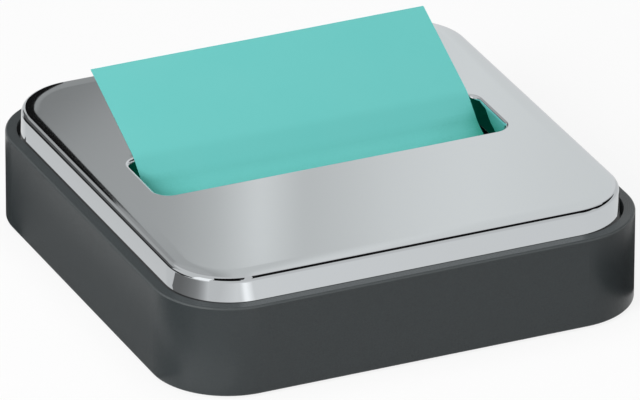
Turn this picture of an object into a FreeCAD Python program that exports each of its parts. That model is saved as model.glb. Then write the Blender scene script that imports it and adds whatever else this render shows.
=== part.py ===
import FreeCAD, Part
import math
import os

import Sketcher

# Pop-up note dispenser: a weighted square base, a lift-off lid under a pressed steel cover, and a
# pad whose sheets come up one by one through the slot in the lid.
# Millimetres. +Z is up, +X runs along the slot, -Y faces the user, and the origin is the middle
# of the plane on which the four feet stand.

# Driving dimensions
SIZES = {
    # base shell
    "base_width": 107.0,
    "base_depth": 107.0,
    "base_height": 20.0,
    "base_corner_radius": 16.6,
    "base_wall": 2.4,
    "rim_round": 0.5,
    "bottom_round": 0.4,
    "base_rib_thick": 1.4,
    "base_rib_spacing": 44.0,
    # seat of the lid in the base
    "lid_gap": 0.6,
    "lid_seat_depth": 3.5,
    "lid_corner_ease": 0.1,
    "deck_thick": 2.0,
    # well for the pad, and the open channel between it and the outer wall
    "channel_width": 9.2,
    "pad_gap": 2.0,
    "well_corner_radius": 3.0,
    "well_wall": 1.8,
    "well_floor": 1.6,
    # bottom cover with its screws and feet
    "cover_thick": 2.4,
    "cover_gap": 0.3,
    "screw_inset": 10.0,
    "boss_radius": 3.2,
    "screw_radius": 1.2,
    "screw_length": 8.0,
    "screw_tip": 1.4,
    "screw_gap": 0.3,
    "head_radius": 2.6,
    "head_height": 1.3,
    "head_sink": 0.2,
    "cross_span": 2.8,
    "cross_width": 0.7,
    "cross_depth": 0.8,
    "foot_inset": 22.0,
    "foot_radius": 6.5,
    "foot_thick": 1.8,
    "foot_proud": 0.5,
    "foot_gap": 0.3,
    "foot_round": 0.4,
    # steel weight between the well and the bottom cover
    "ballast_thick": 2.5,
    "ballast_gap": 0.2,
    "ballast_margin": 2.0,
    # steel cover of the lid
    "lid_rise": 5.3,
    "lid_lift": 0.2,
    "lid_skin": 0.8,
    "lid_draft": 1.5,
    "crown_width": 2.8,
    "crown_drop": 0.4,
    "crown_radius": 20.0,
    "lid_edge_round": 0.7,
    # slot and its turned-down throat
    "slot_end_gap": 1.25,
    "slot_width": 18.4,
    "slot_corner_radius": 3.2,
    "slot_lip_round": 0.8,
    "throat_depth": 6.0,
    "throat_edge_round": 0.3,
    # moulded frame inside the lid
    "frame_gap": 0.3,
    "frame_wall": 1.6,
    "frame_plate": 1.6,
    "collar_wall": 1.2,
    "collar_depth": 4.7,
    "frame_rib_thick": 1.2,
    "frame_rib_height": 2.2,
    "frame_rib_spacing": 44.0,
    # pad, backing card and the sheet that stands in the slot
    "pad_below_rim": 7.1,
    "card_thick": 0.5,
    "sheet_thick": 0.2,
    "sheet_lip_gap": 0.6,
    "sheet_front_gap": 0.7,
    "tail_angle": 25.2,
    "lip_bend_radius": 8.0,
    "throat_angle": 42.0,
    "throat_run": 5.1,
    "throat_bend_radius": 8.0,
    "landing_angle": 24.0,
    "landing_bend_radius": 50.0,
}

# Heights above the desk, each worked out from the sizes of what lies below it
RIM_TOP = "(Sizes.foot_proud + Sizes.base_height)"
LEDGE_TOP = f"({RIM_TOP} - Sizes.lid_seat_depth)"
DECK_UNDER = f"({LEDGE_TOP} - Sizes.deck_thick)"
COVER_TOP = "(Sizes.foot_proud + Sizes.cover_thick)"
SCREW_SEAT = "(Sizes.foot_proud + Sizes.head_sink + Sizes.head_height)"
FLOOR_UNDER = f"({COVER_TOP} + Sizes.ballast_thick + Sizes.ballast_gap)"
FLOOR_TOP = f"({FLOOR_UNDER} + Sizes.well_floor)"
CARD_TOP = f"({FLOOR_TOP} + Sizes.card_thick)"
PAD_TOP = f"({RIM_TOP} - Sizes.pad_below_rim)"
LID_TOP = f"({RIM_TOP} + Sizes.lid_rise)"
LID_BOTTOM = f"({LEDGE_TOP} + Sizes.lid_lift)"
PLATE_UNDER = f"({LID_TOP} - Sizes.lid_skin)"
FRAME_UNDER = f"({PLATE_UNDER} - Sizes.frame_plate)"

# Plan sizes that more than one piece shares. The well takes what the wall and the channel leave of
# the base, the pad fills the well but for its gap, and the slot is as long as a sheet and its gaps.
INNER_RADIUS = "(Sizes.base_corner_radius - Sizes.base_wall)"
LID_RADIUS = f"({INNER_RADIUS} + Sizes.lid_corner_ease)"
LID_INSET = "(Sizes.base_wall + Sizes.lid_gap)"
WELL_INSET = "(Sizes.base_wall + Sizes.channel_width + Sizes.well_wall)"
WELL_WIDTH = f"(Sizes.base_width - 2 * {WELL_INSET})"
WELL_DEPTH = f"(Sizes.base_depth - 2 * {WELL_INSET})"
NOTE_WIDTH = f"({WELL_WIDTH} - 2 * Sizes.pad_gap)"
NOTE_DEPTH = f"({WELL_DEPTH} - 2 * Sizes.pad_gap)"
SLOT_LENGTH = f"({NOTE_WIDTH} + 2 * Sizes.slot_end_gap)"
PILOT_RADIUS = "(Sizes.screw_radius + Sizes.screw_gap)"
CORNERS = ((-1, -1), (1, -1), (1, 1), (-1, 1))

doc = FreeCAD.newDocument("NoteDispenser")
sheet = doc.addObject("Spreadsheet::Sheet", "Sizes")
for row, (alias, number) in enumerate(SIZES.items(), start=1):
    sheet.set(f"A{row}", alias)
    sheet.set(f"B{row}", str(number))
    sheet.setAlias(f"B{row}", alias)
doc.recompute()


# Sketches

def vector(x, y):
    return FreeCAD.Vector(x, y, 0)


def new_body(label):
    body = doc.addObject("PartDesign::Body", label)
    body.Label = label
    return body


def new_sketch(body, name, height="0", plane="XY_Plane"):
    """Sketch on one of the body's origin planes, raised by an expression."""
    sketch = body.newObject("Sketcher::SketchObject", name)
    support = next(item for item in body.Origin.OriginFeatures if item.Role == plane)
    sketch.AttachmentSupport = (support, [""])
    sketch.MapMode = "FlatFace"
    sketch.setExpression(".AttachmentOffset.Base.z", height)
    doc.recompute()
    return sketch


def size(sketch, name, kind, where, expression):
    """Dimension of a sketch, bound to an expression of the driving sizes."""
    number = float(sketch.evalExpression(expression))
    if kind == "Angle":
        number = math.radians(number)
    index = sketch.addConstraint(Sketcher.Constraint(kind, *where, number))
    sketch.renameConstraint(index, name)
    sketch.setExpression(f"Constraints.{name}", expression)


def rounded_rectangle(sketch, width, depth, radius):
    """Rectangle with round corners, centred on the origin of the sketch."""
    half_x = float(sketch.evalExpression(width)) / 2
    half_y = float(sketch.evalExpression(depth)) / 2
    bend = float(sketch.evalExpression(radius))
    flat_x = half_x - bend
    flat_y = half_y - bend
    first = sketch.GeometryCount
    ends = [
        (vector(-flat_x, -half_y), vector(flat_x, -half_y)),
        (vector(half_x, -flat_y), vector(half_x, flat_y)),
        (vector(flat_x, half_y), vector(-flat_x, half_y)),
        (vector(-half_x, flat_y), vector(-half_x, -flat_y)),
    ]
    for start, end in ends:
        sketch.addGeometry(Part.LineSegment(start, end), False)
    centres = [(flat_x, -flat_y), (flat_x, flat_y), (-flat_x, flat_y), (-flat_x, -flat_y)]
    for quarter, (x, y) in enumerate(centres):
        circle = Part.Circle(vector(x, y), FreeCAD.Vector(0, 0, 1), bend)
        start = math.radians(90 * (quarter - 1))
        sketch.addGeometry(Part.ArcOfCircle(circle, start, start + math.pi / 2), False)
    for quarter in range(4):
        line, arc, after = first + quarter, first + 4 + quarter, first + (quarter + 1) % 4
        sketch.addConstraint(Sketcher.Constraint("Tangent", line, 2, arc, 1))
        sketch.addConstraint(Sketcher.Constraint("Tangent", arc, 2, after, 1))
        sketch.addConstraint(Sketcher.Constraint(("Horizontal", "Vertical")[quarter % 2], line))
        if quarter:
            sketch.addConstraint(Sketcher.Constraint("Equal", first + 4, arc))
    sketch.addConstraint(Sketcher.Constraint("Symmetric", first, 1, first + 2, 1, -1, 1))
    size(sketch, f"width{first}", "DistanceX", (first + 3, 1, first + 1, 1), width)
    size(sketch, f"depth{first}", "DistanceY", (first, 1, first + 2, 1), depth)
    size(sketch, f"radius{first}", "Radius", (first + 4,), radius)


def outline(sketch, points):
    """Closed outline of straight lines; each point is a pair of expressions."""
    places = [[float(sketch.evalExpression(term)) for term in point] for point in points]
    first = sketch.GeometryCount
    count = len(points)
    for index, place in enumerate(places):
        after = places[(index + 1) % count]
        sketch.addGeometry(Part.LineSegment(vector(*place), vector(*after)), False)
    for index, (across, up) in enumerate(points):
        line = first + index
        after = first + (index + 1) % count
        sketch.addConstraint(Sketcher.Constraint("Coincident", line, 2, after, 1))
        if across == "0":
            sketch.addConstraint(Sketcher.Constraint("PointOnObject", line, 1, -2))
        else:
            size(sketch, f"across{line}", "DistanceX", (-1, 1, line, 1), across)
        if up == "0":
            sketch.addConstraint(Sketcher.Constraint("PointOnObject", line, 1, -1))
        else:
            size(sketch, f"up{line}", "DistanceY", (-1, 1, line, 1), up)


def rectangle(sketch, width, depth, centre=("0", "0")):
    """Rectangle round a centre that is a pair of expressions."""
    across, up = centre
    outline(sketch, [
        (f"{across} + {sx} * {width} / 2", f"{up} + {sy} * {depth} / 2") for sx, sy in CORNERS
    ])


def corner_circles(sketch, spacing_x, spacing_y, radius):
    """Four equal circles, one near each corner of the piece."""
    half_x = float(sketch.evalExpression(spacing_x)) / 2
    half_y = float(sketch.evalExpression(spacing_y)) / 2
    reach = float(sketch.evalExpression(radius))
    first = sketch.GeometryCount
    for sx, sy in ((1, 1), (-1, 1), (-1, -1), (1, -1)):
        centre = vector(sx * half_x, sy * half_y)
        sketch.addGeometry(Part.Circle(centre, FreeCAD.Vector(0, 0, 1), reach), False)
    for other in (first + 1, first + 2, first + 3):
        sketch.addConstraint(Sketcher.Constraint("Equal", first, other))
    sketch.addConstraint(Sketcher.Constraint("Symmetric", first, 3, first + 1, 3, -2))
    sketch.addConstraint(Sketcher.Constraint("Symmetric", first + 1, 3, first + 2, 3, -1))
    sketch.addConstraint(Sketcher.Constraint("Symmetric", first + 2, 3, first + 3, 3, -2))
    size(sketch, "half_x", "DistanceX", (-1, 1, first, 3), f"{spacing_x} / 2")
    size(sketch, "half_y", "DistanceY", (-1, 1, first, 3), f"{spacing_y} / 2")
    size(sketch, "radius", "Radius", (first,), radius)


# Features

def add_pad(body, name, sketch, length, draft="0"):
    pad = body.newObject("PartDesign::Pad", name)
    pad.Profile = (sketch, [""])
    pad.setExpression("Length", length)
    pad.setExpression("TaperAngle", draft)
    doc.recompute()
    return pad


def cut_pocket(body, name, sketch, depth, upward=False, draft="0"):
    """Pocket that has to take material away, downward unless it is told otherwise."""
    before = body.Shape.Volume
    pocket = body.newObject("PartDesign::Pocket", name)
    pocket.Profile = (sketch, [""])
    pocket.Reversed = upward
    pocket.setExpression("Length", depth)
    pocket.setExpression("TaperAngle", draft)
    doc.recompute()
    if not body.Shape.Volume < before:
        raise RuntimeError(f"{name} cuts nothing")
    return pocket


def level(expression):
    """Value of an expression of the driving sizes."""
    return float(sheet.evalExpression(expression))


def off_outline(point, width, depth, radius):
    """Distance in plan from a point to a centred rounded rectangle, negative inside it."""
    away_x = abs(point.x) - (width / 2 - radius)
    away_y = abs(point.y) - (depth / 2 - radius)
    return math.hypot(max(away_x, 0), max(away_y, 0)) + min(max(away_x, away_y), 0) - radius


def level_edges(shape, height, plan=None):
    """Names of the edges that lie at one height, all of them or those on one plan outline."""
    names = []
    for number, edge in enumerate(shape.Edges, start=1):
        box = edge.BoundBox
        middle = edge.valueAt((edge.FirstParameter + edge.LastParameter) / 2)
        flat = abs(box.ZMin - height) < 0.01 and abs(box.ZMax - height) < 0.01
        if flat and (plan is None or abs(off_outline(middle, *plan)) < 0.05):
            names.append(f"Edge{number}")
    return names


def round_edges(body, name, edges, radius):
    base = body.Tip
    fillet = body.newObject("PartDesign::Fillet", name)
    fillet.Base = (base, edges)
    fillet.setExpression("Radius", radius)
    doc.recompute()
    return fillet


def place_body(body, x="0", y="0", z="0"):
    body.setExpression(".Placement.Base.x", x)
    body.setExpression(".Placement.Base.y", y)
    body.setExpression(".Placement.Base.z", z)


# Base shell: one moulding with the outer wall, the ledge that carries the lid, the well for the
# pad, stiffening ribs round the well and four screw posts

def build_base_shell():
    body = new_body("base_shell")
    inner_width = "(Sizes.base_width - 2 * Sizes.base_wall)"
    inner_depth = "(Sizes.base_depth - 2 * Sizes.base_wall)"

    block = new_sketch(body, "base_plan", "Sizes.foot_proud")
    rounded_rectangle(block, "Sizes.base_width", "Sizes.base_depth", "Sizes.base_corner_radius")
    add_pad(body, "base_block", block, "Sizes.base_height")

    hollow = new_sketch(body, "underside_plan", "Sizes.foot_proud")
    rounded_rectangle(hollow, inner_width, inner_depth, INNER_RADIUS)
    cut_pocket(body, "underside", hollow, f"{FLOOR_UNDER} - Sizes.foot_proud", upward=True)

    channel = new_sketch(body, "channel_plan", FLOOR_UNDER)
    rounded_rectangle(channel, inner_width, inner_depth, INNER_RADIUS)
    rounded_rectangle(channel, f"({WELL_WIDTH} + 2 * Sizes.well_wall)",
                      f"({WELL_DEPTH} + 2 * Sizes.well_wall)",
                      "(Sizes.well_corner_radius + Sizes.well_wall)")
    cut_pocket(body, "channel", channel, f"{DECK_UNDER} - {FLOOR_UNDER}", upward=True)

    rib_height = f"{DECK_UNDER} - {FLOOR_UNDER}"
    for side in (-1, 1):
        offset = f"{side} * Sizes.base_rib_spacing / 2"
        across = new_sketch(body, f"cross_rib_plan_{side + 2}", FLOOR_UNDER)
        rectangle(across, f"({inner_width} + Sizes.base_wall)", "Sizes.base_rib_thick",
                  ("0", offset))
        add_pad(body, f"cross_rib_{side + 2}", across, rib_height)
        along = new_sketch(body, f"long_rib_plan_{side + 2}", FLOOR_UNDER)
        rectangle(along, "Sizes.base_rib_thick", f"({inner_depth} + Sizes.base_wall)",
                  (offset, "0"))
        add_pad(body, f"long_rib_{side + 2}", along, rib_height)

    spacing_x = "(Sizes.base_width - 2 * Sizes.screw_inset)"
    spacing_y = "(Sizes.base_depth - 2 * Sizes.screw_inset)"
    posts = new_sketch(body, "post_plan", COVER_TOP)
    corner_circles(posts, spacing_x, spacing_y, "Sizes.boss_radius")
    add_pad(body, "posts", posts, f"{DECK_UNDER} - {COVER_TOP}")
    pilots = new_sketch(body, "pilot_plan", COVER_TOP)
    corner_circles(pilots, spacing_x, spacing_y, PILOT_RADIUS)
    cut_pocket(body, "pilots", pilots, "Sizes.screw_length", upward=True)

    recess = new_sketch(body, "lid_seat_plan", RIM_TOP)
    rounded_rectangle(recess, inner_width, inner_depth, INNER_RADIUS)
    cut_pocket(body, "lid_seat", recess, "Sizes.lid_seat_depth")
    well = new_sketch(body, "well_plan", RIM_TOP)
    rounded_rectangle(well, WELL_WIDTH, WELL_DEPTH, "Sizes.well_corner_radius")
    cut_pocket(body, "well", well, f"{RIM_TOP} - {FLOOR_TOP}")

    plan = (level("Sizes.base_width"), level("Sizes.base_depth"),
            level("Sizes.base_corner_radius"))
    rim = level_edges(body.Shape, level(RIM_TOP), plan)
    round_edges(body, "rim_edge", rim, "Sizes.rim_round")
    foot_line = level_edges(body.Shape, level("Sizes.foot_proud"), plan)
    round_edges(body, "bottom_edge", foot_line, "Sizes.bottom_round")
    return body


# Bottom cover: a flat moulding that closes the base, with sunk screw heads and foot recesses

def build_bottom_cover():
    body = new_body("bottom_cover")
    inset = "2 * (Sizes.base_wall + Sizes.cover_gap)"
    plate = new_sketch(body, "cover_plan", "Sizes.foot_proud")
    rounded_rectangle(plate, f"(Sizes.base_width - {inset})", f"(Sizes.base_depth - {inset})",
                      f"({INNER_RADIUS} - Sizes.cover_gap)")
    add_pad(body, "cover_plate", plate, "Sizes.cover_thick")

    screw_x = "(Sizes.base_width - 2 * Sizes.screw_inset)"
    screw_y = "(Sizes.base_depth - 2 * Sizes.screw_inset)"
    holes = new_sketch(body, "screw_hole_plan", "Sizes.foot_proud")
    corner_circles(holes, screw_x, screw_y, PILOT_RADIUS)
    cut_pocket(body, "screw_holes", holes, "Sizes.cover_thick", upward=True)
    sinks = new_sketch(body, "head_sink_plan", "Sizes.foot_proud")
    corner_circles(sinks, screw_x, screw_y, "(Sizes.head_radius + Sizes.screw_gap)")
    cut_pocket(body, "head_sinks", sinks, f"{SCREW_SEAT} - Sizes.foot_proud", upward=True)

    foot_x = "(Sizes.base_width - 2 * Sizes.foot_inset)"
    foot_y = "(Sizes.base_depth - 2 * Sizes.foot_inset)"
    recesses = new_sketch(body, "foot_recess_plan", "Sizes.foot_proud")
    corner_circles(recesses, foot_x, foot_y, "(Sizes.foot_radius + Sizes.foot_gap)")
    cut_pocket(body, "foot_recesses", recesses, "Sizes.foot_thick - Sizes.foot_proud",
               upward=True)
    return body


# Cover screws: pan-headed self-tapping screws with a cross recess, driven up into the posts

def build_cover_screw(number, side_x, side_y):
    body = new_body(f"cover_screw_{number}")
    profile = new_sketch(body, f"screw_profile_{number}", plane="XZ_Plane")
    outline(profile, [
        ("0", "-Sizes.head_height"),
        ("Sizes.head_radius * 0.7", "-Sizes.head_height"),
        ("Sizes.head_radius", "-Sizes.head_height * 0.5"),
        ("Sizes.head_radius", "0"),
        ("Sizes.screw_radius", "0"),
        ("Sizes.screw_radius", "Sizes.screw_length - Sizes.screw_tip"),
        ("0", "Sizes.screw_length"),
    ])
    turned = body.newObject("PartDesign::Revolution", f"turned_{number}")
    turned.Profile = (profile, [""])
    turned.ReferenceAxis = (profile, ["V_Axis"])
    turned.Angle = 360
    doc.recompute()

    cross = new_sketch(body, f"cross_plan_{number}", "-Sizes.head_height")
    arm = "Sizes.cross_span / 2"
    web = "Sizes.cross_width / 2"
    outline(cross, [
        (f"-{web}", f"-{arm}"), (web, f"-{arm}"), (web, f"-{web}"), (arm, f"-{web}"),
        (arm, web), (web, web), (web, arm), (f"-{web}", arm),
        (f"-{web}", web), (f"-{arm}", web), (f"-{arm}", f"-{web}"), (f"-{web}", f"-{web}"),
    ])
    cut_pocket(body, f"cross_{number}", cross, "Sizes.cross_depth", upward=True)
    place_body(body, f"{side_x} * (Sizes.base_width / 2 - Sizes.screw_inset)",
               f"{side_y} * (Sizes.base_depth / 2 - Sizes.screw_inset)", SCREW_SEAT)
    return body


# Feet: rubber discs stuck in the recesses of the bottom cover

def build_foot(number, side_x, side_y):
    body = new_body(f"foot_{number}")
    disc = new_sketch(body, f"foot_plan_{number}")
    circle = Part.Circle(vector(0, 0), FreeCAD.Vector(0, 0, 1), level("Sizes.foot_radius"))
    disc.addGeometry(circle, False)
    disc.addConstraint(Sketcher.Constraint("Coincident", 0, 3, -1, 1))
    size(disc, "radius", "Radius", (0,), "Sizes.foot_radius")
    add_pad(body, f"foot_disc_{number}", disc, "Sizes.foot_thick")
    round_edges(body, f"foot_edge_{number}", level_edges(body.Shape, 0), "Sizes.foot_round")
    place_body(body, f"{side_x} * (Sizes.base_width / 2 - Sizes.foot_inset)",
               f"{side_y} * (Sizes.base_depth / 2 - Sizes.foot_inset)")
    return body


# Ballast: a stamped steel plate on the bottom cover, its corners cut round to clear the posts

def build_ballast():
    body = new_body("ballast_plate")
    inset = "(Sizes.base_wall + Sizes.ballast_margin)"
    post_clearance = (f"((Sizes.screw_inset - {inset}) * sqrt(2) + Sizes.boss_radius"
                      " + Sizes.ballast_gap)")
    plate = new_sketch(body, "ballast_plan", COVER_TOP)
    rounded_rectangle(plate, f"(Sizes.base_width - 2 * {inset})",
                      f"(Sizes.base_depth - 2 * {inset})", f"({post_clearance} / (sqrt(2) - 1))")
    add_pad(body, "ballast_block", plate, "Sizes.ballast_thick")
    return body


# Lid cover: one steel pressing with a drafted band, a softly crowned edge and a slot whose
# edges roll over and turn down as a throat

def build_lid_cover():
    body = new_body("lid_cover")
    lid_width = f"(Sizes.base_width - 2 * {LID_INSET})"
    lid_depth = f"(Sizes.base_depth - 2 * {LID_INSET})"
    block = new_sketch(body, "lid_plan", LID_BOTTOM)
    rounded_rectangle(block, lid_width, lid_depth, LID_RADIUS)
    add_pad(body, "lid_block", block, f"{LID_TOP} - {LID_BOTTOM}", "-Sizes.lid_draft")

    top_outline = (body.Tip, level_edges(body.Shape, level(LID_TOP)))
    crown = body.newObject("PartDesign::Chamfer", "crown_slope")
    crown.Base = top_outline
    crown.ChamferType = "Two distances"
    crown.setExpression("Size", "Sizes.crown_drop")
    crown.setExpression("Size2", "Sizes.crown_width")
    doc.recompute()
    band_top = level(f"{LID_TOP} - Sizes.crown_drop")
    round_edges(body, "band_edge", level_edges(body.Shape, band_top), "Sizes.lid_edge_round")
    round_edges(body, "crown", level_edges(body.Shape, level(LID_TOP)), "Sizes.crown_radius")

    inside = new_sketch(body, "lid_inside_plan", LID_BOTTOM)
    rounded_rectangle(inside, f"({lid_width} - 2 * Sizes.lid_skin)",
                      f"({lid_depth} - 2 * Sizes.lid_skin)", f"({LID_RADIUS} - Sizes.lid_skin)")
    cut_pocket(body, "lid_inside", inside, f"{PLATE_UNDER} - {LID_BOTTOM}", upward=True,
               draft="-Sizes.lid_draft")

    throat = new_sketch(body, "throat_plan", f"{LID_TOP} - Sizes.throat_depth")
    rounded_rectangle(throat, f"({SLOT_LENGTH} + 2 * Sizes.lid_skin)",
                      "(Sizes.slot_width + 2 * Sizes.lid_skin)",
                      "(Sizes.slot_corner_radius + Sizes.lid_skin)")
    add_pad(body, "throat", throat, "Sizes.throat_depth - Sizes.lid_skin")
    slot = new_sketch(body, "slot_plan", LID_TOP)
    rounded_rectangle(slot, SLOT_LENGTH, "Sizes.slot_width", "Sizes.slot_corner_radius")
    cut_pocket(body, "slot", slot, "Sizes.throat_depth")

    plan = (level(SLOT_LENGTH), level("Sizes.slot_width"), level("Sizes.slot_corner_radius"))
    lip = level_edges(body.Shape, level(LID_TOP), plan)
    round_edges(body, "slot_lip", lip, "Sizes.slot_lip_round")
    hem = level_edges(body.Shape, level(f"{LID_TOP} - Sizes.throat_depth"), plan)
    round_edges(body, "throat_hem", hem, "Sizes.throat_edge_round")
    return body


# Lid frame: the moulding that fills the cover, stands on the ledge of the base and holds the
# throat of the slot in a ribbed collar

def build_lid_frame():
    body = new_body("lid_frame")
    inset = f"({LID_INSET} + Sizes.lid_skin + Sizes.frame_gap)"
    width = f"(Sizes.base_width - 2 * {inset})"
    depth = f"(Sizes.base_depth - 2 * {inset})"
    radius = f"({LID_RADIUS} - Sizes.lid_skin - Sizes.frame_gap)"
    block = new_sketch(body, "frame_plan", LEDGE_TOP)
    rounded_rectangle(block, width, depth, radius)
    add_pad(body, "frame_block", block, f"{PLATE_UNDER} - {LEDGE_TOP}", "-Sizes.lid_draft")
    inside = new_sketch(body, "frame_inside_plan", LEDGE_TOP)
    rounded_rectangle(inside, f"({width} - 2 * Sizes.frame_wall)",
                      f"({depth} - 2 * Sizes.frame_wall)", f"({radius} - Sizes.frame_wall)")
    cut_pocket(body, "frame_inside", inside, f"{FRAME_UNDER} - {LEDGE_TOP}", upward=True,
               draft="-Sizes.lid_draft")

    rib_under = f"({FRAME_UNDER} - Sizes.frame_rib_height)"
    for side in (-1, 1):
        offset = f"{side} * Sizes.frame_rib_spacing / 2"
        across = new_sketch(body, f"frame_cross_rib_plan_{side + 2}", rib_under)
        rectangle(across, f"({width} - Sizes.frame_wall)", "Sizes.frame_rib_thick",
                  ("0", offset))
        add_pad(body, f"frame_cross_rib_{side + 2}", across, "Sizes.frame_rib_height")
        along = new_sketch(body, f"frame_long_rib_plan_{side + 2}", rib_under)
        rectangle(along, "Sizes.frame_rib_thick", f"({depth} - Sizes.frame_wall)",
                  (offset, "0"))
        add_pad(body, f"frame_long_rib_{side + 2}", along, "Sizes.frame_rib_height")

    hole_reach = "(Sizes.lid_skin + Sizes.frame_gap)"
    collar_reach = f"({hole_reach} + Sizes.collar_wall)"
    collar = new_sketch(body, "collar_plan", f"{PLATE_UNDER} - Sizes.collar_depth")
    rounded_rectangle(collar, f"({SLOT_LENGTH} + 2 * {collar_reach})",
                      f"(Sizes.slot_width + 2 * {collar_reach})",
                      f"(Sizes.slot_corner_radius + {collar_reach})")
    add_pad(body, "collar", collar, "Sizes.collar_depth")
    hole = new_sketch(body, "throat_hole_plan", PLATE_UNDER)
    rounded_rectangle(hole, f"({SLOT_LENGTH} + 2 * {hole_reach})",
                      f"(Sizes.slot_width + 2 * {hole_reach})",
                      f"(Sizes.slot_corner_radius + {hole_reach})")
    cut_pocket(body, "throat_hole", hole, "Sizes.collar_depth")
    return body


# Pad and backing card: the stack of folded sheets is one block on its card in the well

def build_block(label, underside, thickness):
    body = new_body(label)
    plan = new_sketch(body, f"{label}_plan", underside)
    rectangle(plan, NOTE_WIDTH, NOTE_DEPTH)
    add_pad(body, f"{label}_block", plan, thickness)
    return body


# Popped sheet: lies on the front of the pad, climbs through the throat, bends over the back lip
# of the slot and stands out behind it. Its length along that path is one side of a note, so the
# tail has what the rest of the path leaves.

def build_popup_note():
    body = new_body("popup_note")
    landing, throat, tail = "Sizes.landing_angle", "Sizes.throat_angle", "Sizes.tail_angle"
    landing_bend, throat_bend = "Sizes.landing_bend_radius", "Sizes.throat_bend_radius"
    lip_bend = "Sizes.lip_bend_radius"

    # Middle of the bend over the back lip, whose inside clears the rolled edge
    reach = "(Sizes.slot_lip_round + Sizes.sheet_lip_gap + Sizes.sheet_thick / 2)"
    lean = f"(({tail} + {throat}) / 2)"
    lip_y = "(Sizes.slot_width / 2 + Sizes.slot_lip_round)"
    lip_z = f"({LID_TOP} - Sizes.slot_lip_round)"
    bend_y = f"({lip_y} + ({lip_bend} - {reach}) * sin({lean}))"
    bend_z = f"({lip_z} - ({lip_bend} - {reach}) * cos({lean}))"

    # Straight runs that close the path between the top of the pad and that bend
    sheet_z = f"({PAD_TOP} + Sizes.sheet_thick / 2)"
    climb = f"({bend_z} + {lip_bend} * cos({throat}) - {sheet_z})"
    landing_run = (f"(({climb} - Sizes.throat_run * sin({throat})"
                   f" - {throat_bend} * (cos({landing}) - cos({throat}))"
                   f" - {landing_bend} * (1 - cos({landing}))) / sin({landing}))")
    bends = (f"(({landing_bend} * {landing} + {throat_bend} * ({throat} - {landing})"
             f" + {lip_bend} * ({throat} - {tail})) * pi / 180)")
    front_y = f"(Sizes.sheet_front_gap - {WELL_DEPTH} / 2)"
    flat_run = (f"({bend_y} - {lip_bend} * sin({throat}) - Sizes.throat_run * cos({throat})"
                f" - {throat_bend} * (sin({throat}) - sin({landing}))"
                f" - {landing_run} * cos({landing}) - {landing_bend} * sin({landing})"
                f" - {front_y})")
    tail_run = f"({NOTE_DEPTH} - {bends} - {flat_run} - {landing_run} - Sizes.throat_run)"

    path = new_sketch(body, "sheet_path", plane="YZ_Plane")
    runs = [("flat", flat_run, "0"), ("landing", landing_run, landing),
            ("throat", "Sizes.throat_run", throat), ("tail", tail_run, tail)]
    radii = [landing_bend, throat_bend, lip_bend]
    place = vector(level(front_y), level(sheet_z))
    slopes = [math.radians(level(slope)) for _, _, slope in runs]
    for index, (name, length, slope) in enumerate(runs):
        along = vector(math.cos(slopes[index]), math.sin(slopes[index]))
        after = place + along * level(length)
        line = path.addGeometry(Part.LineSegment(place, after), False)
        size(path, f"{name}_run", "Distance", (line,), length)
        if index:
            path.addConstraint(Sketcher.Constraint("Tangent", bend, leaves, line, 1))
            size(path, f"{name}_slope", "Angle", (line,), slope)
        else:
            path.addConstraint(Sketcher.Constraint("Horizontal", line))
        if index < len(radii):
            turn = math.copysign(1, slopes[index + 1] - slopes[index])
            bend_radius = level(radii[index])
            centre = after + vector(-along.y, along.x) * turn * bend_radius
            circle = Part.Circle(centre, FreeCAD.Vector(0, 0, 1), bend_radius)
            facing = [angle - turn * math.pi / 2 for angle in slopes[index:index + 2]]
            bend = path.addGeometry(Part.ArcOfCircle(circle, *sorted(facing)), False)
            enters, leaves = (1, 2) if turn > 0 else (2, 1)
            path.addConstraint(Sketcher.Constraint("Tangent", line, 2, bend, enters))
            size(path, f"{name}_bend", "Radius", (bend,), radii[index])
            far = slopes[index + 1] - turn * math.pi / 2
            after = centre + vector(math.cos(far), math.sin(far)) * bend_radius
        place = after
    size(path, "front_y", "DistanceX", (-1, 1, 0, 1), front_y)
    size(path, "front_z", "DistanceY", (-1, 1, 0, 1), sheet_z)

    section = new_sketch(body, "sheet_section", f"-{front_y}", plane="XZ_Plane")
    rectangle(section, NOTE_WIDTH, "Sizes.sheet_thick", ("0", sheet_z))
    swept = body.newObject("PartDesign::AdditivePipe", "sheet")
    swept.Profile = (section, [""])
    swept.Spine = (path, [])
    doc.recompute()
    return body


def build_all():
    bodies = [build_base_shell(), build_bottom_cover(), build_ballast()]
    for number, (side_x, side_y) in enumerate(CORNERS, start=1):
        bodies.append(build_cover_screw(number, side_x, side_y))
        bodies.append(build_foot(number, side_x, side_y))
    bodies += [build_lid_cover(), build_lid_frame()]
    bodies.append(build_block("backing_card", FLOOR_TOP, "Sizes.card_thick"))
    bodies.append(build_block("note_pad", CARD_TOP, f"{PAD_TOP} - {CARD_TOP}"))
    bodies.append(build_popup_note())
    doc.recompute()
    return bodies


def check_and_write(bodies):
    """Stops at any failed feature or bad solid; then writes one STEP file for each piece."""
    for item in doc.Objects:
        if "Invalid" in item.State or "Error" in item.State:
            raise RuntimeError(f"{item.Name} failed: {item.State}")
    for body in bodies:
        shape = body.Shape
        if shape.isNull() or not shape.isValid() or len(shape.Solids) != 1:
            raise RuntimeError(f"{body.Label} is not one valid solid")
    os.makedirs("parts", exist_ok=True)
    for body in bodies:
        body.Shape.exportStep(f"parts/{body.Label}.step")
        print(f"{body.Label}: {body.Shape.Volume / 1000:.2f} cm3")


check_and_write(build_all())
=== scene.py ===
import bpy
import bmesh
import math
from mathutils import Matrix, Vector


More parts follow.
